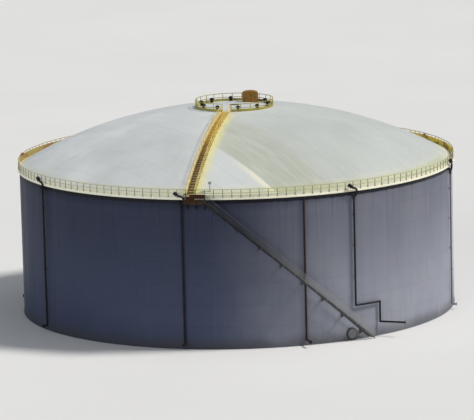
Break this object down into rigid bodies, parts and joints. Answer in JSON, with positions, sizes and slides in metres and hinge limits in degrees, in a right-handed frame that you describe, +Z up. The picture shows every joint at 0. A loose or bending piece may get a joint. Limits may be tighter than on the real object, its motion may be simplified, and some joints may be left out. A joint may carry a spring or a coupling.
{
  "type": "dome-roof storage tank, 1:2 scale model",
  "caption": "Scale model of a welded storage tank with a shallow dome roof, rim handrail, shell stair, roof walkway and foam lines.",
  "frame": {"origin": "centre of the tank's underside, on the tank's own axis", "axes": "+Z up, -Y to the front where the roof walkway and stair start, +X to the right seen from the front"},
  "size_m": [26.3712, 26.6463, 12.7706],
  "materials": {
    "shell_paint": "weathered satin",
    "roof_paint": "weathered matt",
    "cream_paint": "weathered matt",
    "yellow_paint": "weathered satin",
    "stair_paint": "weathered satin",
    "rusted_paint": "rusted",
    "dark_paint": "satin",
    "red_brown_paint": "satin",
    "bare_steel": "weathered grey"
  },
  "bodies": {
    "root": {"bottom_plate": "bare_steel", "shell_segment_1": "shell_paint", "shell_segment_2": "shell_paint", "shell_segment_3": "shell_paint", "shell_segment_4": "shell_paint", "shell_segment_5": "shell_paint", "shell_segment_6": "shell_paint", "shell_segment_7": "shell_paint", "shell_segment_8": "shell_paint", "roof_petal_1": "roof_paint", "roof_petal_2": "roof_paint", "roof_petal_3": "roof_paint", "roof_petal_4": "roof_paint", "roof_petal_5": "roof_paint", "roof_petal_6": "roof_paint", "roof_petal_7": "roof_paint", "roof_petal_8": "roof_paint", "crown_plate": "roof_paint", "curb_section_1": "cream_paint", "curb_section_2": "cream_paint", "curb_section_3": "cream_paint", "curb_section_4": "cream_paint", "rim_rail_1": "yellow_paint", "rim_rail_2": "yellow_paint", "rim_rail_3": "yellow_paint", "rim_rail_4": "yellow_paint", "crown_rail_right": "yellow_paint", "crown_rail_left": "yellow_paint", "stair_flight_1": "stair_paint", "stair_flight_2": "stair_paint", "stair_flight_3": "stair_paint", "stair_flight_4": "stair_paint", "stair_rail_1": "stair_paint", "stair_rail_2": "stair_paint", "stair_rail_3": "stair_paint", "stair_rail_4": "stair_paint", "rim_landing": "rusted_paint", "landing_rail": "rusted_paint", "roof_walkway": "rusted_paint", "walkway_rail_left": "yellow_paint", "walkway_rail_right": "yellow_paint", "vent_hood": "rusted_paint", "gauge_post": "bare_steel", "foam_line_1": "dark_paint", "foam_line_2": "dark_paint", "foam_line_3": "dark_paint", "foam_line_4": "dark_paint", "foam_line_5": "dark_paint", "foam_line_6": "dark_paint", "foam_line_7": "dark_paint", "foam_line_8": "dark_paint", "water_riser": "red_brown_paint", "shell_manhole_front": "shell_paint", "shell_manhole_back": "shell_paint", "product_nozzle_1": "bare_steel", "product_nozzle_2": "bare_steel"}
  },
  "joints": []
}
